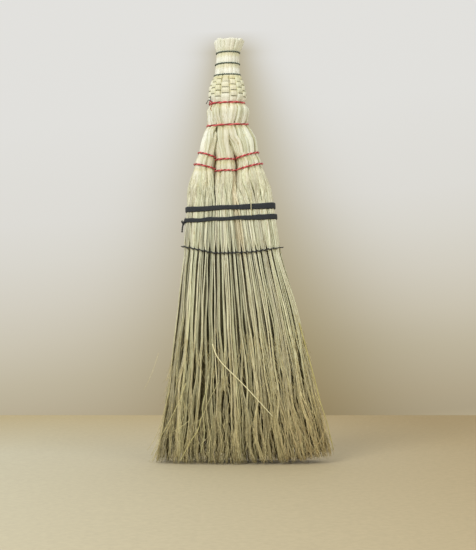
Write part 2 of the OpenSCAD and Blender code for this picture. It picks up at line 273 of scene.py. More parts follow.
def tinted_graph(name):
    """A new material's graph, its object coordinates, and the tint that its mesh carries."""
    graph = Graph(bpy.data.materials.new(name))
    tint = graph.add("Attribute", output="Color", attribute_name="tint")
    return graph, graph.add("TexCoord", output="Object"), tint


def straw_material(name, grain, streaks, roughness, bump):
    """Dry plant skin: the mesh's own tint, with fine streaks along the stem and small dark marks."""
    graph, place, colour = tinted_graph(name)

    def noise(scale, stretch, detail):
        turned = graph.add("Mapping", {"Vector": place, "Scale": (scale, scale, scale * stretch)}, "Vector")
        return graph.add("TexNoise", {"Vector": turned, "Scale": 1.0, "Detail": detail}, "Fac")

    fine = noise(grain, 0.02, 4)
    marks = noise(grain * 0.35, 0.25, 6)
    stops = tuple(zip((0.32, 0.62), streaks)), ((0.24, (0.78, 0.68, 0.52)), (0.4, (1, 1, 1)))
    for factor, shades in zip((fine, marks), stops):
        colour = graph.mix(colour, graph.ramp(factor, shades), blend="MULTIPLY")
    spread = (roughness - 0.12, roughness + 0.15)
    return graph.surface(colour, fine, bump, 0.0003, marks, spread, {"Specular IOR Level": 0.35})


def string_material(name, grain, roughness, sheen, bump, woven=0.0):
    """Twine or tape: the mesh's own tint, fuzzy fine noise and, on a tape, the squares of its weave."""
    graph, place, tint = tinted_graph(name)
    fuzz = graph.add("TexNoise", {"Vector": place, "Scale": grain, "Detail": 5}, "Fac")
    height = fuzz
    if woven:
        ribs = {"Vector": place, "Scale": woven, "Distortion": 0.6}
        threads = [graph.add("TexWave", ribs, "Fac", bands_direction=way) for way in ("X", "Z")]
        height = graph.maths("ADD", graph.maths("MULTIPLY", *threads), fuzz)
    shades = graph.ramp(height, ((0.3, (0.6, 0.6, 0.6)), (0.8, (1.25, 1.25, 1.25))))
    colour = graph.mix(tint, shades, blend="MULTIPLY")
    spread = (roughness - 0.1, roughness + 0.12)
    return graph.surface(colour, height, bump, 0.0002, fuzz, spread, {"Sheen Weight": sheen})


STALK_SKIN = straw_material("stalk_skin", 950, ((0.84, 0.83, 0.78), (1.05, 1.05, 1.05)), 0.48, 0.35)
FIBRE_SKIN = straw_material("fibre_skin", 1500, ((0.7, 0.66, 0.55), (1.1, 1.1, 1.06)), 0.55, 0.3)
TWINE = string_material("twine", 5200, 0.5, 0.25, 0.5)
TAPE = string_material("tape_cloth", 2600, 0.62, 0.12, 0.8, woven=380)
WAXED = string_material("waxed_thread", 4200, 0.42, 0.1, 0.4)

# ---------------- what the frame says
NODES = sorted(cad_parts)


def middle_of(node):
    low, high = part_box(node)
    return (np.array(low) + np.array(high)) / 2 / MM


def top_of(node):
    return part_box(node)[1][2] / MM


CORDS = ("top_neck_cord", "middle_neck_cord", "lower_neck_cord")
CORD_Z = [middle_of(n)[2] for n in CORDS]
CORD_D = (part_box("top_neck_cord")[1][2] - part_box("top_neck_cord")[0][2]) / MM
TIE_D = 2.4
NECK_TIE_Z = top_of("neck_tie") - TIE_D / 2
SHOULDER_TIE_Z = top_of("shoulder_tie") - TIE_D
# How far each bundle's tie lies above the centre one's, and how far its right end rises over its middle
TIE_RISE = (6.5, 0.0, 4.0)
TIE_SLOPE = (-3.5, 0.0, 4.0)
UPPER_TIE_Z, LOWER_TIE_Z = (
    top_of(n) - TIE_RISE[0] + TIE_SLOPE[0] - TIE_D / 2 for n in ("upper_bundle_tie", "lower_bundle_tie")
)
BAND_STEP = 14
UPPER_BAND_Z = middle_of("upper_band")[2]
LOWER_BAND_Z = UPPER_BAND_Z - BAND_STEP
STITCH_Z = middle_of("stitch_thread")[2]
TOP_Z = CAD_BOX[1][2] / MM
# The broom stands leaning: its own frame is tilted this far against the floor
LEAN = math.radians(2.0)
FLOOR_CLEAR = 0.3
# Points of a brush below this height all belong to its tips, which rise to the corners
CORNER_LIFT = 12


def levels_of(node, lift):
    """A solid's points grouped by height, from the lowest group up. Points below lift are one group."""
    points = np.array([v.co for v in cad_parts[node].data.vertices]) / MM
    height = np.where(points[:, 2] < lift, 0, points[:, 2]).round(0)
    return [points[height == h] for h in np.unique(height)]


def stalk_rings(node):
    """Height, x, y and radius of each ring of a stalk."""
    rows = []
    for ring in levels_of(node, 0):
        low, high = ring.min(0), ring.max(0)
        rows.append([ring[:, 2].mean(), *((low + high) / 2)[:2], (high[0] - low[0]) / 2])
    return np.array(rows)


def brush_rows(bundle):
    """Height, x from and to, and half depth of each ring of a bundle's brush."""
    rows = []
    for ring in levels_of(f"{bundle}_brush", CORNER_LIFT):
        height = 0 if ring[:, 2].min() < CORNER_LIFT else ring[:, 2].mean()
        rows.append([height, ring[:, 0].min(), ring[:, 0].max(), ring[:, 1].max()])
    return np.array(rows)


BRUSH = [brush_rows(b) for b in BUNDLES]
SWEEP_Z = BRUSH[0][:, 0]
# Left edge, two seams and right edge of the sweep, and its half depth, by height
EDGES = np.stack([BRUSH[0][:, 1], BRUSH[1][:, 1], BRUSH[1][:, 2], BRUSH[2][:, 2]], 1)
HALF_DEPTH = BRUSH[1][:, 3]
FLATNESS = 0.31


def edges_at(z):
    return curve_through(z, SWEEP_Z, EDGES)


def middle_and_half(z):
    """x of the sweep's middle, and half its width with a hair of room, by height."""
    edges = edges_at(z)
    return (edges[..., 0] + edges[..., 3]) / 2, (edges[..., 3] - edges[..., 0]) / 2 * 1.01


def depth_at(z, x):
    """Half depth of the sweep at a height and an x."""
    middle, half = middle_and_half(z)
    across = np.clip((x - middle) / half, -1, 1)
    return curve_through(z, SWEEP_Z, HALF_DEPTH) * (1 - across**2 + 0.004) ** FLATNESS


def corner_rise(x):
    """How high the trimmed tips are over the floor, rising to the sweep's corners."""
    return 8 * smooth((np.abs(x) / EDGES[0, 3] - 0.55) / 0.45)


def floor_under(x):
    """The lowest that a fibre may reach at x, just clear of the leaning floor."""
    return FLOOR_CLEAR - x * math.tan(LEAN)


# ---------------- stalks
LONG = [n for n in NODES if "_stalk_" in n and "inner" not in n]
INNER = [n for n in NODES if "_inner_stalk_" in n]
STALKS = LONG + INNER
RINGS = {n: stalk_rings(n) for n in STALKS}
BUNDLE_OF = {n: next(i for i, b in enumerate(BUNDLES) if n.startswith(b)) for n in STALKS}
LONG_IN = [[n for n in LONG if BUNDLE_OF[n] == b] for b in range(3)]

# Heights of a stalk's rings: coarse below the weave, fine from there up
STALK_END_Z, FINE_FROM_Z, COARSE_STEP, FINE_STEP = 330, 448, 4.0, 1.5
Z = np.concatenate([
    np.arange(STALK_END_Z, FINE_FROM_Z, COARSE_STEP), np.arange(FINE_FROM_Z, TOP_Z + 0.1, FINE_STEP)
])
WEAVE_TOP_Z = CORD_Z[2] - 5
WEAVE_BOTTOM_Z = NECK_TIE_Z + 5
WEAVE_ROWS = 7
ROW_PITCH = (WEAVE_TOP_Z - WEAVE_BOTTOM_Z) / WEAVE_ROWS
# Heights at which the stalks' order round the woven neck, and round each bundle, is read
WOVEN_NECK_Z, BUNDLED_Z = 476, 380


def level_at(z):
    """The place in Z that is nearest to a height."""
    return np.abs(Z - z).argmin()


def centre_line(node):
    """x, y and radius of a stalk at the heights Z. Its foot is drawn in under its own fibres."""
    rows = RINGS[node]
    slope = (rows[1, 1:3] - rows[0, 1:3]) / (rows[1, 0] - rows[0, 0])
    x, y = rows[0, 1:3] + 0.5 * slope * (STALK_END_Z - rows[0, 0])
    foot = [STALK_END_Z - 1, x, 0.74 * y, 0.5 * rows[0, 3]]
    rows = np.vstack([foot, rows])
    return curve_through(Z, rows[:, 0], rows[:, 1:])


LINES = {n: centre_line(n) for n in STALKS}
HANDLE_MIDDLE = np.mean([LINES[n][:, :2] for n in LONG], 0)
BUNDLE_MIDDLE = [np.mean([LINES[n][:, :2] for n in members], 0) for members in LONG_IN]
# 1 where the stalks lie in three bundles, 0 where they are one handle
PARTED = smooth((SHOULDER_TIE_Z - Z) / (SHOULDER_TIE_Z - UPPER_TIE_Z - 16))[:, None]


def group_middle(node):
    return HANDLE_MIDDLE * (1 - PARTED) + BUNDLE_MIDDLE[BUNDLE_OF[node]] * PARTED


def outside_stalks():
    """The stalks on the outside of the woven neck, in the string's order, from the left round the front."""
    level = level_at(WOVEN_NECK_Z)
    offsets = {n: LINES[n][level, :2] - HANDLE_MIDDLE[level] for n in LONG}
    reach = max(np.linalg.norm(o) for o in offsets.values())
    ring = [n for n in LONG if np.linalg.norm(offsets[n]) > 0.8 * reach]
    first = 178
    return sorted(ring, key=lambda n: (math.degrees(math.atan2(offsets[n][1], offsets[n][0])) - first) % 360)


OUTSIDE = outside_stalks()


def tie_heights(node):
    """Heights of every string that pulls this stalk in."""
    b = BUNDLE_OF[node]
    low, high = LOWER_TIE_Z + TIE_RISE[b], UPPER_TIE_Z + TIE_RISE[b]
    return [*CORD_Z, NECK_TIE_Z, SHOULDER_TIE_Z, high, low]


# The dark line where the right bundle laps over the centre one at the front: x by height
LAP_LINE = ((353, 384, 427, 462), (0.6, 3.3, -9.7, -9.0))
# x of the outside stalks at the front of the woven neck: evenly spread, and as the string really holds them
EVEN_X = (-28.0, -23.1, -19.6, -13.6, -6.6, 0.7, 7.0, 12.4, 24.0)
HELD_X = (-28.6, -24.8, -21.1, -15.9, -7.2, 2.9, 9.8, 14.6, 24.6)
# Gap between the bundles' fronts at the bundle ties, and how far they press into each other elsewhere
TIE_GAP, OVERLAP = 7.6, 2.0


def press_together():
    """Bundles press on each other, with a dark line at the front. The right one laps over the centre one."""
    sides = []
    for members in LONG_IN:
        lines = [LINES[n] for n in members]
        sides.append((np.min([l[:, 0] - l[:, 2] for l in lines], 0), np.max([l[:, 0] + l[:, 2] for l in lines], 0)))
    seams = [(sides[b][1] + sides[b + 1][0]) / 2 for b in range(2)]
    apart = smooth((SHOULDER_TIE_Z + 1 - Z) / 13)
    at_ties = hump(Z, (UPPER_TIE_Z + LOWER_TIE_Z) / 2 + 2, 17)
    lap = np.maximum(sides[2][0] - np.interp(Z, *LAP_LINE), 0) * smooth((NECK_TIE_Z - 2 - Z) / 14)
    below_shoulder = hump(Z, SHOULDER_TIE_Z - 11, 11)
    for n in STALKS:
        line, b = LINES[n], BUNDLE_OF[n]
        x, y = line[:, 0].copy(), line[:, 1].copy()
        low, high = sides[b]
        gap = at_ties * np.interp(y, (-10, -1), (TIE_GAP, 0)) - OVERLAP
        new_low = low if b == 0 else seams[b - 1] + gap / 2
        new_high = high if b == 2 else seams[b] - gap / 2
        stretch = np.clip((new_high - new_low) / (high - low), 0.85, 1.4)
        line[:, 0] += apart * (new_low - low + (x - low) * (stretch - 1))
        line[:, 2] *= 1 + apart * (stretch**0.8 - 1)
        if n in LONG:
            line[:, 2] = np.maximum(line[:, 2], 2.7 * below_shoulder)
        if b == 0:
            # The left bundle's front stalks close the crack beside the centre one
            closing = below_shoulder * smooth(-y / 2) * smooth((x - high + 14) / 8)
            line[:, 0] += 3.2 * closing
            line[:, 1] -= 3.0 * closing
        if b == 2:
            near = smooth(-y / 9) * hump(x - low, 0, 18)
            line[:, 0] -= lap * near
            line[:, 1] -= 0.3 * lap * near
        line[:, 0] += 2.4 * hump(Z, NECK_TIE_Z - 11, 9) * smooth((-x - 16) / 12)
        held = smooth(-y / 9) * smooth((Z - SHOULDER_TIE_Z) / 12) * smooth((CORD_Z[2] + 12 - Z) / 18)
        line[:, 0] += held * (np.interp(x, EVEN_X, HELD_X) - x)
    return seams


SEAMS = press_together()
# The colour of the shade painted into the cracks between the bundles
CRACK_SHADE_TINT = np.array([0.36, 0.25, 0.16])


def shaded_in_cracks(tint, x, z):
    """Painted shade: a tint made darker in the cracks between the bundles, which are deepest at the bundle ties."""
    deep = smooth((UPPER_TIE_Z + 12 - z) / 10) * smooth((z - LOWER_TIE_Z + 20) / 14)
    near_seam = sum(hump(x, np.interp(z, Z, seam), 1.5) for seam in SEAMS)
    return tint * (1 - np.clip(deep * near_seam, 0, 1)[..., None] * (1 - CRACK_SHADE_TINT))


def half_widths():
    """Half of each stalk's width across, so that neighbours round the handle or round a bundle touch."""
    widths = {n: np.ones(len(Z)) * LINES[n][:, 2] for n in STALKS}

    def touching(ring, share):
        for i, n in enumerate(ring):
            own = BROAD.get(n, 1.0)
            reach = []
            for other in (ring[i - 1], ring[(i + 1) % len(ring)]):
                distance = np.linalg.norm(LINES[n][:, :2] - LINES[other][:, :2], axis=1)
                reach.append(distance * own / (own + BROAD.get(other, 1.0)))
            half = 0.3 * np.min(reach, 0) + 0.7 * np.max(reach, 0) + 0.1 + PRESSED
            half = np.clip(half, 0.92 * LINES[n][:, 2], 1.9 * LINES[n][:, 2])
            widths[n] += share * (half - LINES[n][:, 2])

    touching(OUTSIDE, 1 - PARTED[:, 0])
    level = level_at(BUNDLED_Z)
    for members, middle in zip(LONG_IN, BUNDLE_MIDDLE):
        ring = sorted(members, key=lambda n: math.atan2(*(LINES[n][level, :2] - middle[level])))
        touching(ring, PARTED[:, 0])
    return widths


# Wide and narrow stalks at the front of the woven neck
BROAD = {"centre_stalk_8": 1.5, "centre_stalk_7": 0.72, "right_stalk_9": 1.05}
# How far neighbours sink into each other where the neck is bound tight
PRESSED = 0.5 * smooth((Z - SHOULDER_TIE_Z) / 20) * smooth((CORD_Z[0] + 12 - Z) / 10)
HALF_WIDTH = half_widths()


def cinch():
    """Strings bite into the stalks, which swell a little between them. In the weave each stalk swells in turn."""
    for n in STALKS:
        line = LINES[n]
        middle = group_middle(n)
        squeeze = sum(0.028 * hump(Z, t, 2.4) for t in tie_heights(n))
        if n in OUTSIDE:
            step = OUTSIDE.index(n)
            turns = (WEAVE_TOP_Z - Z) / ROW_PITCH - step / len(OUTSIDE)
            in_weave = smooth((Z - NECK_TIE_Z - 3) / 4) * smooth((CORD_Z[2] - 2 - Z) / 3)
            squeeze = squeeze + 0.03 * in_weave * np.cos(math.pi * (turns + step + 1))
        line[:, :2] = middle + (line[:, :2] - middle) * (1 - squeeze[:, None])


cinch()

STALK_SIDES = 18
TUFT_HALF = max(abs(LINES[n][-1, 0] - HANDLE_MIDDLE[-1, 0]) for n in LONG)
SHEATH_EDGES = 3
SHEATH_TINT = np.array([0.66, 0.64, 0.5])
SQUARENESS = 2.7
# Cream, pale yellow, pale green and pink tan, and how much of each a stalk tends to have
SHADES = np.stack([srgb(242, 243, 232), srgb(236, 233, 206), srgb(228, 234, 212), srgb(236, 222, 202)])
SHADE_WEIGHTS = [1.6, 1.3, 1.0, 0.25]
# Tint just below the strings, part painted shade and part yellowing; pale tint of the tuft and of the painted
# highlights; colour of the pith
SHADE_AND_STAIN_TINT, PALE_TINT, PITH = np.array([0.84, 0.79, 0.58]), srgb(243, 245, 238), srgb(238, 230, 200)
# The cut end, as shares of the stalk's radius and heights over its last ring: a rolled rim, then the pith
END_STEPS = ((0.99, 0.25), (0.93, 0.62), (0.8, 0.78), (0.62, 0.6), (0.35, 0.5), (0.08, 0.55))


def stalk_tint(node, heights):
    """A stalk's colour along its length: its own shade, darker and yellower just below each string, partly painted
    shade and partly yellowing, and paler just above the next, partly a painted highlight on the swell.
    """
    base = rng.dirichlet(SHADE_WEIGHTS) @ SHADES
    # Darker and yellower just below each string: partly painted shade, partly yellowing
    shade_and_stain = sum(0.75 * hump(heights, t - 3.8, 2.8) for t in tie_heights(node))
    # Darker and yellower towards the foot
    shade_and_stain = shade_and_stain + 0.45 * smooth((Z[0] + 62 - heights) / 50)
    if node in OUTSIDE:
        # Darker marks just below each crossing of the weave string: partly a painted shadow of the string, partly
        # staining
        turn = OUTSIDE.index(node) + len(OUTSIDE) * np.arange(WEAVE_ROWS)
        crossed = WEAVE_TOP_Z - ROW_PITCH * turn[turn % 2 == 1] / len(OUTSIDE)
        depth = 0.15 if BROAD.get(node, 1) > 1.2 else 0.95
        shade_and_stain = shade_and_stain + sum(depth * hump(heights, c - 0.9, 1.5) for c in crossed)
        # Darker and yellower over the whole woven band
        shade_and_stain = shade_and_stain + 0.3 * smooth((heights - NECK_TIE_Z) / 5) * smooth((CORD_Z[2] - heights) / 5)
    shade_and_stain = np.clip(shade_and_stain, 0, 1)[:, None]
    # Paler over the tuft above the top cord, and paler just above the lower strings: partly a painted highlight on
    # the swell between strings
    above = (CORD_Z[1] + 5, CORD_Z[2] + 5, NECK_TIE_Z + 6, SHOULDER_TIE_Z + 9)
    pale = (smooth((heights - CORD_Z[0] - 2) / 6) + sum(1.3 * hump(heights, t, 4.5) for t in above))[:, None]
    wave = 1 + 0.035 * waves(heights[None], 1, (30, 70))[0][:, None]
    return (base * (1 - shade_and_stain) + base * SHADE_AND_STAIN_TINT * shade_and_stain) * wave * (1 - 0.5 * pale) + 0.5 * pale * PALE_TINT


def stalk_piece(node):
    """One stalk: a slightly squared stem with ribs, pressed on its neighbours, and a trimmed end with its pith."""
    keep = Z <= RINGS[node][-1, 0] + 0.1
    heights, line = Z[keep], LINES[node][keep]
    outward = unit(line[:, :2] - group_middle(node)[keep] + 0.2 * FRONT)
    if node in LONG:
        spread = (line[-1, 0] - HANDLE_MIDDLE[-1, 0]) / TUFT_HALF
        trim = rng.uniform(-2.2, 1.6) - 2.2 * spread**2
        heights = heights + trim * smooth((heights - CORD_Z[0]) / 14)
    angle = np.arange(STALK_SIDES) * 2 * math.pi / STALK_SIDES
    across = np.abs(np.cos(angle)) / HALF_WIDTH[node][keep][:, None]
    outwards = np.abs(np.sin(angle)) / line[:, 2:3]
    squared = (across**SQUARENESS + outwards**SQUARENESS) ** (-1 / SQUARENESS)
    ribs = 1 + 0.022 * np.sin(rng.integers(5, 8) * angle + rng.uniform(0, 6) + 0.02 * heights[:, None])
    ribs = ribs + 0.02 * waves(heights[None], 1, (18, 40))[0][:, None]
    radii = squared * ribs
    path = np.c_[line[:, :2], heights]
    foot = 0.2 + 0.8 * smooth((heights - STALK_END_Z) / 34)
    radii = radii * foot[:, None]
    path[:, 1] *= 0.85 + 0.15 * foot
    tint = stalk_tint(node, heights)[:, None]
    # Dark edges of the leaf sheath run down the stalk, and show little in the tight neck
    plain = 1 - 0.8 * smooth((heights - NECK_TIE_Z) / 8)
    for edge in rng.uniform(0, 2 * math.pi, SHEATH_EDGES):
        off = angle - edge - 0.2 * np.sin(heights[:, None] / 45 + edge)
        near_edge = (plain[:, None] * hump((off + math.pi) % (2 * math.pi), math.pi, 0.24))[..., None]
        tint = tint * (1 - near_edge * (1 - SHEATH_TINT))
    x = line[:, :1] + radii * (np.sin(angle) * outward[:, :1] - np.cos(angle) * outward[:, 1:])
    # Painted shade in the cracks between the bundles
    tint = shaded_in_cracks(tint, x, heights[:, None])
    last = len(heights) - 1
    for share, rise in END_STEPS:
        on_rim = share > 0.9
        end_tint = tint[last] if on_rim else np.broadcast_to(PITH, tint.shape[1:]) * rng.uniform(0.82, 1)
        radii = np.vstack([radii, radii[last] * share])
        path = np.vstack([path, path[last] + [0, 0, rise]])
        tint = np.vstack([tint, end_tint[None]])
    outward = np.vstack([outward, np.repeat(outward[-1:], len(END_STEPS), 0)])
    reference = np.c_[outward, np.zeros(len(outward))]
    shape = Shape()
    shape.add(*tubes(path[None], radii[None], STALK_SIDES, tint[None], reference[None]))
    shape.build(f"{node}_stem", STALK_SKIN, [node])


for stalk in STALKS:
    stalk_piece(stalk)

# ---------------- fibres
# Ring heights as shares of a fibre's length, closer together at the stitch row and towards the tips
RING_STEPS = np.concatenate([np.full(8, 10.0), np.full(10, 5.0), np.full(12, 14.0), np.full(11, 7.1)])
RING_SHARES = np.concatenate([[0], np.cumsum(RING_STEPS)]) / RING_STEPS.sum()
HEAD_START_Z = (338.0, 379.0)
# Below this height a fibre has left its stalk, and it lies wholly on it this much higher
LEAVE_STALK_Z, ON_STALK_RISE = 328, 34
CLUMP_WIDTHS = (4.4, 8.4)


def stitch_clumps():
    """Edges and middles of the clumps that the stitches gather, uneven steps from side to side of the sweep."""
    left, _, _, right = edges_at(np.array([STITCH_Z]))[0]
    bounds = left + 0.5 + np.concatenate([[0], np.cumsum(rng.uniform(*CLUMP_WIDTHS, 60))])
    bounds = bounds[bounds < right - 2]
    return bounds, (bounds[:-1] + bounds[1:]) / 2


CLUMP_EDGES, CLUMPS = stitch_clumps()
CLUMP_PULL = rng.uniform(0.3, 0.62, len(CLUMPS))
CLUMP_REACH = rng.uniform(7, 15, len(CLUMPS))
# Tints of the fibres at the tips, the middle of the sweep, the tapes and the heads, and their heights
FIBRE_TINTS = np.stack([srgb(190, 178, 138), srgb(205, 200, 171), srgb(217, 217, 200), srgb(227, 225, 206)], 1)
FIBRE_TINT_Z = (0, 150, 300, 375)
GREEN_CAST, PINK_CAST = np.array([0.94, 1.0, 0.93]), np.array([1.05, 0.96, 0.9])
BROWN_CAST = np.array([1.04, 0.95, 0.86])
TWIG_TINT = srgb(202, 192, 148)
# How far a branch's fibres spread from it, by height
SPREAD = ((0, 60, 130, 200, 258, 275, 320), (0.56, 0.46, 0.36, 0.29, 0.27, 0.5, 0.85))
# Shares of branches that cross their neighbours, of single fibres that do, of thick fibres and of pinkish stalks
BRANCHES_CROSS, FIBRES_CROSS, THICK, PINKISH = 0.14, 0.05, 0.2, 0.16


def head_cells():
    """Each stalk's place in the sweep: its bundle, its share of the bundle's width, and its layer in the depth."""
    cells = []
    for b in range(3):
        reach = max(abs(LINES[n][0, 1]) for n in LONG_IN[b])
        front = [n for n in LONG_IN[b] if LINES[n][0, 1] < -0.12 * reach]
        back = [n for n in LONG_IN[b] if LINES[n][0, 1] > 0.12 * reach]
        between = [n for n in STALKS if BUNDLE_OF[n] == b and n not in front + back]
        for row, (near, far) in ((front, (-1, -0.3)), (between, (-0.4, 0.4)), (back, (0.3, 1))):
            row = sorted(row, key=lambda n: LINES[n][0, 0])
            for i, n in enumerate(row):
                cells.append((n, b, i / len(row), (i + 1) / len(row), near, far))
    return cells


def stalk_at(node, z):
    """x, y and radius of a stalk at heights z."""
    return [np.interp(z, Z, LINES[node][:, k]) for k in range(3)]


def fibre_paths(cell, branches, each):
    """Paths, radii and tints of one stalk's fibres, from its head down through the bands and the stitches."""
    node, b, from_share, to_share, near, far = cell
    count = branches * each
    branch = np.repeat(np.arange(branches), each)
    across = max(1, branches // 2)
    cell_width = to_share - from_share
    place = np.arange(branches) % across + rng.uniform(0.25, 0.75, branches)
    own_share = from_share + cell_width * place / across
    own_depth = np.where(np.arange(branches) < across, near, far) * 0.72 + 0.28 * rng.uniform(near, far, branches)
    share_off = rng.normal(0, 0.42 / across, count) * cell_width
    depth_off = rng.normal(0, 0.17, count)

    start = rng.uniform(*HEAD_START_Z, count)
    foot = np.abs(rng.normal(0, 2.4, count)) + 0.3
    outer = (own_share if b == 2 else 1 - own_share if b == 0 else 0 * own_share)[branch]
    short = rng.random(count) < 0.1 + (0.34 if b == 2 else 0.16) * smooth((outer - 0.66) / 0.3)
    foot = np.where(short, rng.uniform(8, 70, count), foot)
    z = start[:, None] + (foot - start)[:, None] * RING_SHARES

    loose = rng.uniform(0.75, 1.3, branches)[branch][:, None]
    spread = np.interp(z, *SPREAD) * loose
    down = smooth((STITCH_Z - z) / STITCH_Z)
    branch_phase = rng.random((branches, 3))[branch]
    branch_length = rng.uniform(90, 190, (branches, 3))[branch]
    sway = sum(np.sin(2 * math.pi * (z / branch_length[:, k:k + 1] + branch_phase[:, k:k + 1])) for k in range(3))
    curl = smooth((95 - z) / 95)
    lower = smooth((210 - z) / 120)

    def wander(strength):
        shared = strength * waves(z, count, (55, 130), branch) + 1.25 * curl * waves(z, count, (26, 62), branch)
        return shared + 0.5 * strength * waves(z, count, (60, 150)) + 0.8 * curl * waves(z, count, (20, 44))

    own, own_y = wander(0.12 + 1.15 * down), wander(0.12 + 0.95 * down)
    strands_cross = (rng.random(branches) < BRANCHES_CROSS)[branch]
    crossing = strands_cross | (rng.random(count) < FIBRES_CROSS)
    drift = np.where(strands_cross, rng.normal(0, 8, branches)[branch], rng.normal(0, 7, count)) * crossing
    drift = drift[:, None] * smooth((200 - z) / 200)

    edges = edges_at(z)
    left, width = edges[..., b], edges[..., b + 1] - edges[..., b]
    together = 0.1 * smooth((z - 270) / 30)
    head_share = (from_share + to_share) / 2
    share = own_share[branch][:, None] * (1 - together) + head_share * together
    x = left + width * (share + share_off[:, None] * spread) + 0.45 * (0.2 + 3.0 * down) * sway + own + drift
    # Few fibres stray past the sides of the sweep
    past = np.maximum(edges[..., 0] + 2 - x, 0) - np.maximum(x - edges[..., 3] + 2, 0)
    x = x + rng.uniform(0.45, 1, (count, 1)) * past
    # The stitches gather the fibres into narrow clumps
    at_stitch = np.array([np.interp(STITCH_Z, row_z[::-1], row_x[::-1]) for row_z, row_x in zip(z, x)])
    aside = 0.0 if near < -0.9 else 3.1
    which = np.clip(np.searchsorted(CLUMP_EDGES, at_stitch - aside) - 1, 0, len(CLUMPS) - 1)
    outside = near * far >= 0
    pull = CLUMP_PULL[which] * (1.0 if outside else 0.2)
    reach = np.where(z > STITCH_Z, CLUMP_REACH[which][:, None], 62)
    x = x + (pull * (CLUMPS[which] + aside - at_stitch))[:, None] * hump(z, STITCH_Z, reach)
    layer = np.clip(own_depth[branch][:, None] + depth_off[:, None] * spread, -1, 1)
    rises = crossing[:, None] & outside
    layer = np.where(rises, layer + (np.sign(near + far) * 1.04 - layer) * lower, layer)
    y = (depth_at(z, x) - 0.9) * layer * (1 - 0.05 * hump(z, STITCH_Z, 12)) + 0.8 * own_y

    # Above the bands each fibre lies on its own stalk and starts from it
    cx, cy, r = stalk_at(node, z)
    facing = -math.pi / 2 if far <= 0 else math.pi / 2 if near >= 0 else 0
    most = 1.5 if outside else math.pi
    turn = (facing + rng.uniform(-most, most, count))[:, None]
    on_stalk = smooth((z - LEAVE_STALK_Z) / ON_STALK_RISE)
    sink = 1.02 - 0.5 * hump(z, start[:, None], 4)
    half = np.interp(z, Z, HALF_WIDTH[node])
    x = x * (1 - on_stalk) + (cx + sink * half * np.cos(turn)) * on_stalk
    y = y * (1 - on_stalk) + (cy + sink * r * np.sin(turn)) * on_stalk
    z = z + rng.uniform(0.05, 1.2, (count, 1)) * corner_rise(x) * smooth((60 - z) / 60)
    z = np.maximum(z, floor_under(x))

    is_thick = rng.random(count) < THICK
    thick = np.where(is_thick, rng.uniform(0.8, 1.1, count), rng.uniform(0.45, 0.7, count))[:, None]
    along = smooth((z - 10) / 330)
    radii = thick * (0.55 + 0.45 * along) * (1 + 0.9 * hump(z, start[:, None] - 4, 4.5))
    radii = radii * (1 - 0.7 * RING_SHARES**14)
    tint = np.stack([np.interp(z, FIBRE_TINT_Z, channel) for channel in FIBRE_TINTS], -1)
    uneven = 0.5 + 0.5 * smooth((345 - z) / 60) + 0.4 * smooth((180 - z) / 120)
    shade = 1 + rng.normal(0, 0.13, (branches, 1))[branch] * uneven
    shade = shade * (1 + rng.normal(0, 0.12, (count, 1)) * uneven)
    green = rng.uniform(0, 1, (branches, 1))[branch] * 0.8
    pink = 0.9 if rng.random() < PINKISH else 0.0
    cast = 1 + green[..., None] * (GREEN_CAST - 1) + pink * smooth((z[..., None] - 235) / 60) * (PINK_CAST - 1)
    from_side = np.minimum(x - edges[..., 0], edges[..., 3] - x)
    # Painted shade: fibres deep inside the sweep, away from its sides and below the heads, are darker and a little
    # warmer
    depth_shade = 0.5 + 0.24 * smooth((240 - z) / 130)
    buried_shade = depth_shade * smooth((0.86 - np.abs(layer)) / 0.5) * smooth((345 - z) / 40) * smooth(from_side / 14)
    shadow = 1 - buried_shade[..., None] * (1.0, 1.03, 1.13)
    browned = smooth((x[..., None] - 10) / 80) * smooth((130 - z[..., None]) / 100)
    # Painted shade in the cracks between the bundles
    tint = shaded_in_cracks(tint, x, z)
    tint = np.clip(tint * shade[..., None] * shadow * cast * (1 + browned * (BROWN_CAST - 1)), 0.012, 0.9)
    return np.stack([x, y, z], -1), radii, tint


# Branches of each stalk, fibres of each branch and sides of each fibre, by layer
PLAN = {"front": (8, 12, 5), "middle": (5, 9, 4), "back": (8, 9, 4)}
SURFACE = []
SIDEWAYS = np.array([0.0, 1.0, 0.0])
CELLS = head_cells()
for b, bundle in enumerate(BUNDLES):
    for layer, (branches, each, sides) in PLAN.items():
        shape = Shape()
        for cell in CELLS:
            in_layer = "front" if cell[5] <= 0 else "back" if cell[4] >= 0 else "middle"
            if cell[1] != b or in_layer != layer:
                continue
            paths, radii, tint = fibre_paths(cell, branches, each)
            shape.add(*tubes(paths, radii, sides, tint, SIDEWAYS, spin=rng.random()))
            if layer != "middle":
                SURFACE.append(paths)
        shape.build(f"{bundle}_{layer}_fibres", FIBRE_SKIN, [f"{bundle}_brush"])
SURFACE = np.concatenate(SURFACE)


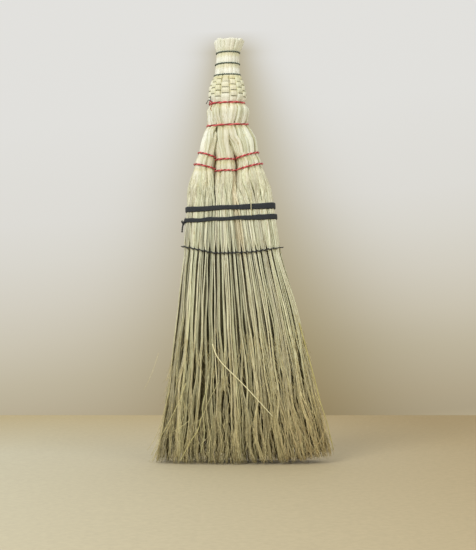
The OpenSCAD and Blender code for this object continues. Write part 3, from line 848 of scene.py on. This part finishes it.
def twigs(name, count):
    """Fine side twigs on the outside fibres, which make the lower sweep wispy."""
    parent = SURFACE[rng.integers(0, len(SURFACE), count)]
    ring = rng.integers(23, len(RING_SHARES) - 4, count)
    root = parent[np.arange(count), ring]
    run = unit(parent[np.arange(count), ring + 2] - root)
    aside, forward = rng.normal(0, 0.16, count), rng.normal(0, 0.1, count)
    side = np.stack([aside, forward + 0.08 * np.sign(root[:, 1]), np.zeros(count)], 1)
    length = rng.uniform(10, 34, count)[:, None]
    t = np.linspace(0, 1, 7)
    paths = root[:, None] + (run[:, None] + side[:, None] * t[:, None]) * length[..., None] * t[:, None]
    paths[..., 0] += 1.1 * t * waves(t[None] * 30, count, (14, 30))
    lowest = np.maximum(floor_under(paths[..., 0]), 0.3 * corner_rise(paths[..., 0]))
    paths[..., 2] = np.maximum(paths[..., 2], lowest)
    radii = rng.uniform(0.2, 0.36, (count, 1)) * (1 - 0.5 * t)
    tint = TWIG_TINT * rng.normal(1.02, 0.2, (count, 1, 1)) * np.ones((count, 7, 1))
    shape = Shape()
    shape.add(*tubes(paths, radii, 4, np.clip(tint, 0, 0.9), SIDEWAYS))
    shape.build(name, FIBRE_SKIN)


TWIG_PIECES, TWIGS_EACH = 3, 1900
for part in range(TWIG_PIECES):
    twigs(f"fine_twigs_{part + 1}", TWIGS_EACH)

# Loose fibres that lie across the others: points from root to tip, the radius and the colour
STRAYS = (
    (((-34.7, -19, 152), (-31, -21, 140), (-25.2, -23, 130), (4, -29, 98.7), (37.9, -31, 59.2)), 0.8,
     (246, 240, 200)),
    (((-66, -24, 58), (-74, -26, 52), (-90, -25, 43)), 0.35, (214, 204, 154)),
    (((-92, -20, 92), (-101, -19, 62), (-110, -15, 38), (-122, -9, 20)), 0.32, (206, 196, 146)),
    (((-104, -4, 142), (-111.6, -5, 121), (-119, -5, 105), (-124, -4, 97)), 0.28, (214, 206, 170)),
    (((88, -22, 90), (93, -24, 62), (84, -26, 40), (68, -27, 14)), 0.32, (196, 184, 132)),
    (((76, -10, 175), (92, -12, 108), (100, -14, 71), (107, -13, 46), (114, -8, 12)), 0.8, (190, 182, 122)),
    (((103, -16, 62), (103, -19, 40), (92, -22, 19), (80, -24, 6)), 0.4, (198, 180, 132)),
    (((-70, -20, 104), (-75, -22, 90), (-92, -22, 57), (-104, -19, 37), (-117, -12, 14)), 0.5, (208, 200, 150)),
    (((-52, -24, 60), (-56, -25, 46), (-66, -26, 31), (-80, -26, 7)), 0.6, (204, 196, 140)),
    (((-27, -20, 106), (-31, -22, 99), (-41, -24, 82), (-53, -25, 58), (-63, -25, 53)), 0.45, (208, 202, 156)),
    (((-44, -23, 96), (-50, -24, 70), (-48, -25, 44), (-54, -26, 16)), 0.6, (198, 196, 148)),
    (((21.2, -13, 346), (20.6, -16.0, 334), (20.2, -18.2, 323), (20.6, -16.6, 313)), 0.55, (232, 226, 190)),
)


def stray_fibres():
    shape = Shape()
    for points, radius, colour in STRAYS:
        path = smooth_line(points, 8 * len(points))
        taper = 1 - 0.4 * np.linspace(0, 1, len(path))
        shape.add(*tubes(path[None], radius * taper[None], 6, srgb(*colour), SIDEWAYS))
    shape.build("stray_fibres", FIBRE_SKIN)


stray_fibres()


# ---------------- strings
def hug(z_at, members, stand_off, steps=180):
    """A closed line pulled tight round the members at the heights z_at gives for each angle."""
    path = []
    for a in np.linspace(0, 2 * math.pi, steps, endpoint=False):
        z = z_at(a)
        direction = np.array([math.cos(a), math.sin(a)])
        spots = [stalk_at(n, z) for n in members]
        reach = [np.dot(s[:2], direction) + s[2] for s in spots]
        s = spots[int(np.argmax(reach))]
        path.append([*(np.array(s[:2]) + (s[2] + stand_off) * direction), z])
    return np.array(path)


# The colours of each string's two plies
REDS = srgb(158, 22, 30), srgb(238, 98, 104)
GREENS = srgb(66, 80, 68), srgb(96, 112, 100)
GREYS = srgb(84, 82, 56), srgb(124, 122, 94)
BLACKS = srgb(24, 26, 26), srgb(44, 47, 52)
OCHRES = srgb(200, 152, 84), srgb(176, 126, 66)
# How far the middle of a cord or tie lies off the stalks under it, as a share of its diameter
CORD_SINK, TIE_SINK = 0.3, 0.36
# Length of one twist of the twine in each string
CORD_PITCH, NECK_PITCH, SHOULDER_PITCH, BUNDLE_PITCH, WEAVE_PITCH, THIN_PITCH = 6, 16, 20, 9.4, 2.6, 5

for node, z in zip(CORDS, CORD_Z):
    shape = Shape()
    add_twine(shape, hug(lambda a: z, OUTSIDE, CORD_SINK * CORD_D), CORD_D, CORD_PITCH, GREENS)
    shape.build(f"{node}_twine", TWINE, [node])


def knot_path(middle, size, turns=2.4, steps=40):
    """A small ball of string wound over itself."""
    t = np.linspace(0, 1, steps)
    a, tilt = 2 * math.pi * turns * t, 2.4 * t
    ball = np.stack([np.cos(a) * np.cos(tilt), np.cos(a) * np.sin(tilt), np.sin(a)], 1)
    return np.array(middle) + size * ball


def add_knot(shape, middle, size, diameter, colours, tails):
    add_twine(shape, knot_path(middle, size), diameter, THIN_PITCH, colours, closed=False)
    for tail in tails:
        line = smooth_line(middle + np.array([(0, 0, 0), *tail]), 24)
        add_twine(shape, line, diameter, THIN_PITCH, colours, closed=False)


def neck_tie():
    shape = Shape()
    path = hug(lambda a: NECK_TIE_Z, OUTSIDE, TIE_SINK * TIE_D)
    add_twine(shape, path, TIE_D, NECK_PITCH, REDS, steps_a_turn=20)
    front = path[path[:, 1] < 0]
    spot = front[np.abs(front[:, 0] - path[:, 0].min() - 2.4).argmin()] + np.array([0, -1.2, -0.4])
    loop = [(-1.4, -1.4, 2.6), (-3.2, -0.6, 3.0), (-3.4, -0.2, 0.2), (-1.0, -1.0, -1.6)]
    tail = [(-1.4, -0.8, -3.6), (0.2, -1.2, -6.0), (0.8, -1.2, -7.6)]
    add_knot(shape, spot, 0.9, 1.3, REDS, [loop])
    add_knot(shape, spot + np.array([-1.2, -0.4, -3.2]), 0.4, 1.1, OCHRES, [tail])
    shape.build("neck_tie_twine", TWINE, ["neck_tie"])


def shoulder_tie():
    shape = Shape()
    path = hug(lambda a: SHOULDER_TIE_Z + 0.5 + 0.4 * math.cos(a) - 1.6 * abs(math.sin(a)), LONG, TIE_SINK * TIE_D)
    add_twine(shape, path, TIE_D, SHOULDER_PITCH, REDS, steps_a_turn=24)
    shape.build("shoulder_tie_twine", TWINE, ["shoulder_tie"])


def bundle_tie(node, z):
    shape = Shape()
    for members, rise, slope in zip(LONG_IN, TIE_RISE, TIE_SLOPE):
        path = hug(lambda a: z + rise + slope * math.cos(a), members, TIE_SINK * TIE_D)
        low, high = path[:, 0].min(), path[:, 0].max()
        path[:, 2] = z + rise + slope * (2 * path[:, 0] - low - high) / (high - low)
        add_twine(shape, path, TIE_D, BUNDLE_PITCH, REDS, steps_a_turn=14)
    shape.build(f"{node}_twine", TWINE, [node])


neck_tie()
shoulder_tie()
bundle_tie("upper_bundle_tie", UPPER_TIE_Z)
bundle_tie("lower_bundle_tie", LOWER_TIE_Z)


def weave_string():
    """One string spirals down, over one outside stalk and under the next, and ends in three tails on the left."""
    thickness = 0.95
    path = []
    for step in range(WEAVE_ROWS * len(OUTSIDE)):
        here, ahead = OUTSIDE[step % len(OUTSIDE)], OUTSIDE[(step + 1) % len(OUTSIDE)]
        z = WEAVE_TOP_Z - ROW_PITCH * step / len(OUTSIDE)
        x, y, r = stalk_at(here, z)
        next_x, next_y, _ = stalk_at(ahead, z)
        out = unit(np.array([x, y]) - HANDLE_MIDDLE[level_at(z)])
        along = unit(np.array([-out[1], out[0]]))
        side = 1 if step % 2 else -1
        half = np.interp(z, Z, HALF_WIDTH[here])
        for shift, reach in ((-0.62, 0.93), (-0.3, 0.99), (0.3, 0.99), (0.62, 0.93)):
            spot = np.array([x, y]) + shift * half * along + side * (reach * r + 0.25 * thickness) * out
            path.append([*spot, z - 0.1 * shift])
        path.append([(x + next_x) / 2, (y + next_y) / 2, z - ROW_PITCH / 2 / len(OUTSIDE)])
    path = np.array(path[:-1])
    shape = Shape()
    add_twine(shape, smooth_line(path, 3 * len(path)), thickness, WEAVE_PITCH, GREYS, closed=False, steps_a_turn=7)
    left = path[path[:, 0].argmin()]
    spot = np.array([left[0] + 1.5, left[1] - 6, NECK_TIE_Z + 4])
    tails = [
        [(-1.6, -1.6, 0.6), (-5.2, -2.6, -4.6)],
        [(0.5, -1.6, 2.2), (0.8, -2.0, 5.2)],
        [(2.0, -2.2, -1.4), (3.6, -2.9, -5.4)],
    ]
    add_knot(shape, spot, 0.7, thickness, BLACKS, tails)
    shape.build("weave_string_twine", TWINE, ["weave_string"])


weave_string()


def round_sweep(z, steps, stand_off):
    """Angle, x and y of points round the sweep's outline at a height."""
    angle = (np.arange(steps) + 0.5) * 2 * math.pi / steps
    middle, half = middle_and_half(np.full(steps, z))
    deep = curve_through(np.full(steps, z), SWEEP_Z, HALF_DEPTH) + stand_off
    y = np.sign(np.sin(angle)) * deep * np.abs(np.sin(angle)) ** (2 * FLATNESS)
    return angle, middle + (half + stand_off) * np.cos(angle), y


def tape_band(node, z, widths, climb, knotted):
    """Cloth tape laid flat round the sweep, with rounded edges, dents over the gaps and a little unevenness."""
    steps, rows = 420, 12
    angle, x, y = round_sweep(z, steps, 0)
    on_face = np.abs(y) > 6
    width = np.interp(x, *zip(*widths)) + 0.25 * waves(x[None], 1, (20, 45))[0]
    height = z + climb * (x + 6) / 100 + 0.5 * waves(x[None], 1, (30, 60))[0] * on_face
    seams = edges_at(np.array([z]))[0][1:3]
    dent = sum(0.7 * hump(x, seam, 2.0) for seam in seams) + 0.2 * waves(x[None], 1, (9, 16))[0]
    across = np.linspace(-1, 1, rows)
    profile = np.sqrt(np.clip(1 - across**6, 0, 1))
    ring = np.vstack([np.c_[across, 0.5 + 0.75 * profile], np.c_[across[::-1], np.full(rows, -0.2)]])
    outward = unit(np.stack([np.cos(angle) * 0.35, np.sin(angle)], 1))
    out = ring[None, :, 1] - (dent * on_face)[:, None]
    ripple = 0.12 * waves(np.arange(steps)[None] * 1.0, len(ring), (6, 14)).T
    out = out + ripple * (ring[None, :, 1] > 0)
    points = np.stack([
        x[:, None] + outward[:, :1] * out,
        y[:, None] + outward[:, 1:] * out,
        height[:, None] + width[:, None] / 2 * ring[None, :, 0],
    ], -1)
    index = np.arange(steps * len(ring)).reshape(steps, len(ring))
    tint = srgb(24, 31, 38) * rng.normal(1, 0.05, (index.size, 1))
    shape = Shape()
    shape.add(points.reshape(-1, 3), [quads_between(index, np.roll(index, -1, 0))], tint)
    if knotted:
        spot = np.array([x.min() - 2.0, -4.5, z - 3.6])
        tails = [[(-1.6, -0.8, -5), (-2.4, -1.4, -11.5)], [(-2.2, -0.6, 1.6), (-1.6, -1.2, 3.4)]]
        add_knot(shape, spot, 1.5, 2.1, BLACKS, tails)
        bridge = np.array([spot + [0, 0, 1], [x.min() + 0.4, -4, z + 3.2]])
        add_twine(shape, bridge, 1.3, THIN_PITCH, BLACKS, closed=False)
    shape.build(f"{node}_tape", TAPE, [node])


# The width of each tape by x
UPPER_WIDTHS = ((-66, 7.2), (-30, 6.4), (-6, 5.7), (20, 7.2), (52, 8.2))
LOWER_WIDTHS = ((-66, 5.6), (-30, 5.0), (-10, 4.5), (10, 5.4), (30, 6.9), (54, 7.2))
tape_band("upper_band", UPPER_BAND_Z, UPPER_WIDTHS, 1.0, False)
tape_band("lower_band", LOWER_BAND_Z, LOWER_WIDTHS, 1.2, True)


def stitch_height(x):
    """The stitch row sags in the middle of the sweep, and rises more to the left than to the right."""
    return STITCH_Z + 9.0 * smooth((np.abs(x + 4) - 14) / 62) * np.where(x < 0, 1.25, 0.65)


def stitch_thread():
    """A waxed thread laid round the sweep, and a slanting stitch over it at each clump, front and back."""
    shape = Shape()
    thickness = 1.25
    _, x, y = round_sweep(STITCH_Z, 360, 0.1)
    add_twine(shape, np.stack([x, y, stitch_height(x)], 1), thickness, THIN_PITCH, BLACKS)
    edges = edges_at(np.array([STITCH_Z]))[0]
    for side in (-1, 1):
        for place in CLUMPS:
            reach = rng.uniform(2.2, 3.0)
            t = np.linspace(-1, 1, 9)
            px = place + reach * t
            py = side * (depth_at(np.full(9, STITCH_Z), px) + 1.3 - 3.2 * np.abs(t) ** 3)
            pz = stitch_height(px) + side * 1.5 * t + 0.15 * side
            add_twine(shape, np.stack([px, py, pz], 1), thickness * 0.95, THIN_PITCH, BLACKS, closed=False)
    for end, way in ((edges[0], -1), (edges[3], 1)):
        root = np.array([end - way * 0.5, -2.0, stitch_height(end)])
        tail = np.array([root, root + [way * 1.2, -0.6, -0.6 * way], root + [way * 2.6, -1.2, 0.4]])
        add_twine(shape, tail, 1.0, THIN_PITCH, BLACKS, closed=False)
    shape.build("stitch_thread_stitches", WAXED, ["stitch_thread"])


stitch_thread()


# ---------------- floor, light and camera
FLOOR_FAR_Y = 0.656
FLOOR_HALF_X, FLOOR_NEAR_Y, FLOOR_GAP = 1.6, -2.6, 0.0004
# Left and right colours of the floor near the broom, then far behind it; darker to the right and far back as a
# painted shade of the light's falloff and the broom's shadow
FLOOR_SHADED_COLOURS = (((196, 189, 162), (174, 155, 114)), ((188, 170, 124), (163, 140, 92)))
# Colours of the surround, from below the horizon to well above it: darker and warmer towards the floor, a painted
# shade of the light's falloff, with a darker band where it meets the floor's far edge, painted shade at the wall's
# foot
SURROUND_STOPS = (
    (-0.30, (196, 184, 150)), (-0.13, (196, 184, 150)), (-0.10, (174, 162, 136)), (-0.085, (180, 168, 142)),
    (-0.05, (192, 183, 160)), (-0.02, (203, 196, 178)), (0.012, (211, 206, 193)), (0.045, (217, 214, 205)),
    (0.075, (221, 219, 213)), (0.15, (225, 224, 220)), (0.30, (227, 226, 223)),
)
SURROUND_REACH = 0.3
SHADE_TINT = np.array([0.58, 0.51, 0.33])
# Camera: place in metres, upward tilt in degrees, and focal length and sensor in millimetres
EYE, TILT_UP, LENS, SENSOR = (0.0007, -1.612, 0.206), 1.15, 82.5, 36


def floor():
    """A pale board that ends behind the broom. It is tilted in the broom's frame, because the broom leans."""
    mesh = bpy.data.meshes.new("floor")
    sides, ends = (-FLOOR_HALF_X, FLOOR_HALF_X), (FLOOR_NEAR_Y, FLOOR_FAR_Y)
    corners = [(sides[0], ends[0]), (sides[1], ends[0]), (sides[1], ends[1]), (sides[0], ends[1])]
    mesh.from_pydata([(x, y, -x * math.tan(LEAN) - FLOOR_GAP) for x, y in corners], [], [(0, 1, 2, 3)])
    graph = Graph(bpy.data.materials.new("floor_board"))
    place = graph.add("TexCoord", output="Object")
    grain = graph.add("TexNoise", {"Vector": place, "Scale": 160, "Detail": 8}, "Fac")
    parts = graph.add("SeparateXYZ", {"Vector": place})
    across = graph.remap(parts["X"], (-0.32, 0.32))
    away = graph.remap(parts["Y"], (0.1, FLOOR_FAR_Y))
    # Painted shade: the board darkens to the right and towards its far end
    near_far = [graph.mix(srgb(*left), srgb(*right), across) for left, right in FLOOR_SHADED_COLOURS]
    colour = graph.mix(graph.mix(*near_far, away), grain, 0.12, "OVERLAY")
    graph.set(graph.nodes["Principled BSDF"], {"Base Color": colour, "Roughness": 0.75})
    mesh.materials.append(graph.owner)
    board = bpy.data.objects.new("floor", mesh)
    bpy.context.scene.collection.objects.link(board)


def soft_shade(graph, parts):
    """How strongly the broom's soft shadow dims the surround behind it: a broad hump, wider lower down."""
    width = graph.remap(parts["Z"], (-0.03, 0.188), (0.093, 0.0213))
    low_middle = graph.maths("MULTIPLY_ADD", parts["Z"], -0.12, 0.013)
    middle = graph.maths("MAXIMUM", low_middle, graph.maths("MULTIPLY_ADD", parts["Z"], -0.02, 0.004))
    aside = graph.maths("DIVIDE", graph.maths("SUBTRACT", parts["X"], middle), width)
    hump_shape = graph.maths("EXPONENT", graph.maths("MULTIPLY", graph.maths("MULTIPLY", aside, aside), -1.0))
    fade = graph.remap(parts["Z"], (0.21, 0.194), (0, 0.9))
    behind = graph.maths("MULTIPLY", fade, graph.maths("GREATER_THAN", parts["Y"], 0.0))
    return graph.maths("MULTIPLY", hump_shape, behind)


def backdrop():
    """A pale surround: light grey above, darker and warmer towards the floor and the right as a painted shade of
    the light's falloff, dimmed by the broom's painted soft shadow, and floor-coloured below it.
    """
    world = bpy.data.worlds.new("studio")
    bpy.context.scene.world = world
    graph = Graph(world)
    parts = graph.add("SeparateXYZ", {"Vector": graph.add("TexCoord", output="Generated")})
    # Tilted with x so that the painted shade falls darker to the right
    height = graph.maths("MULTIPLY_ADD", parts["X"], -0.06, parts["Z"])
    stops = [((z + SURROUND_REACH) / (2 * SURROUND_REACH), srgb(*colour)) for z, colour in SURROUND_STOPS]
    surround = graph.ramp(graph.remap(height, (-SURROUND_REACH, SURROUND_REACH)), stops)
    colour = graph.mix(surround, SHADE_TINT, soft_shade(graph, parts), "MULTIPLY")
    graph.set(graph.nodes["Background"], {"Color": colour, "Strength": 1.0})


def soft_light(name, place, target, size, watts):
    light = bpy.data.lights.new(name, "AREA")
    light.shape, light.size, light.energy = "DISK", size, watts
    lamp = bpy.data.objects.new(name, light)
    bpy.context.scene.collection.objects.link(lamp)
    lamp.location = place
    lamp.rotation_euler = (Vector(target) - Vector(place)).to_track_quat("-Z", "Y").to_euler()


def camera():
    """The view of the photograph: a long lens, low and almost level, turned by the broom's lean."""
    data = bpy.data.cameras.new("camera")
    data.lens, data.sensor_width = LENS, SENSOR
    eye = bpy.data.objects.new("camera", data)
    bpy.context.scene.collection.objects.link(eye)
    tilt = math.radians(90 + TILT_UP)
    eye.matrix_world = Matrix.Translation(EYE) @ Matrix.Rotation(tilt, 4, "X") @ Matrix.Rotation(-LEAN, 4, "Z")
    bpy.context.scene.camera = eye


floor()
backdrop()
soft_light("key", (-1.1, -1.7, 1.9), (0, 0, 0.3), 1.1, 29)
soft_light("fill", (1.4, -1.6, 0.9), (0, 0, 0.25), 1.4, 8)
camera()
bpy.context.scene.view_settings.view_transform = "Standard"
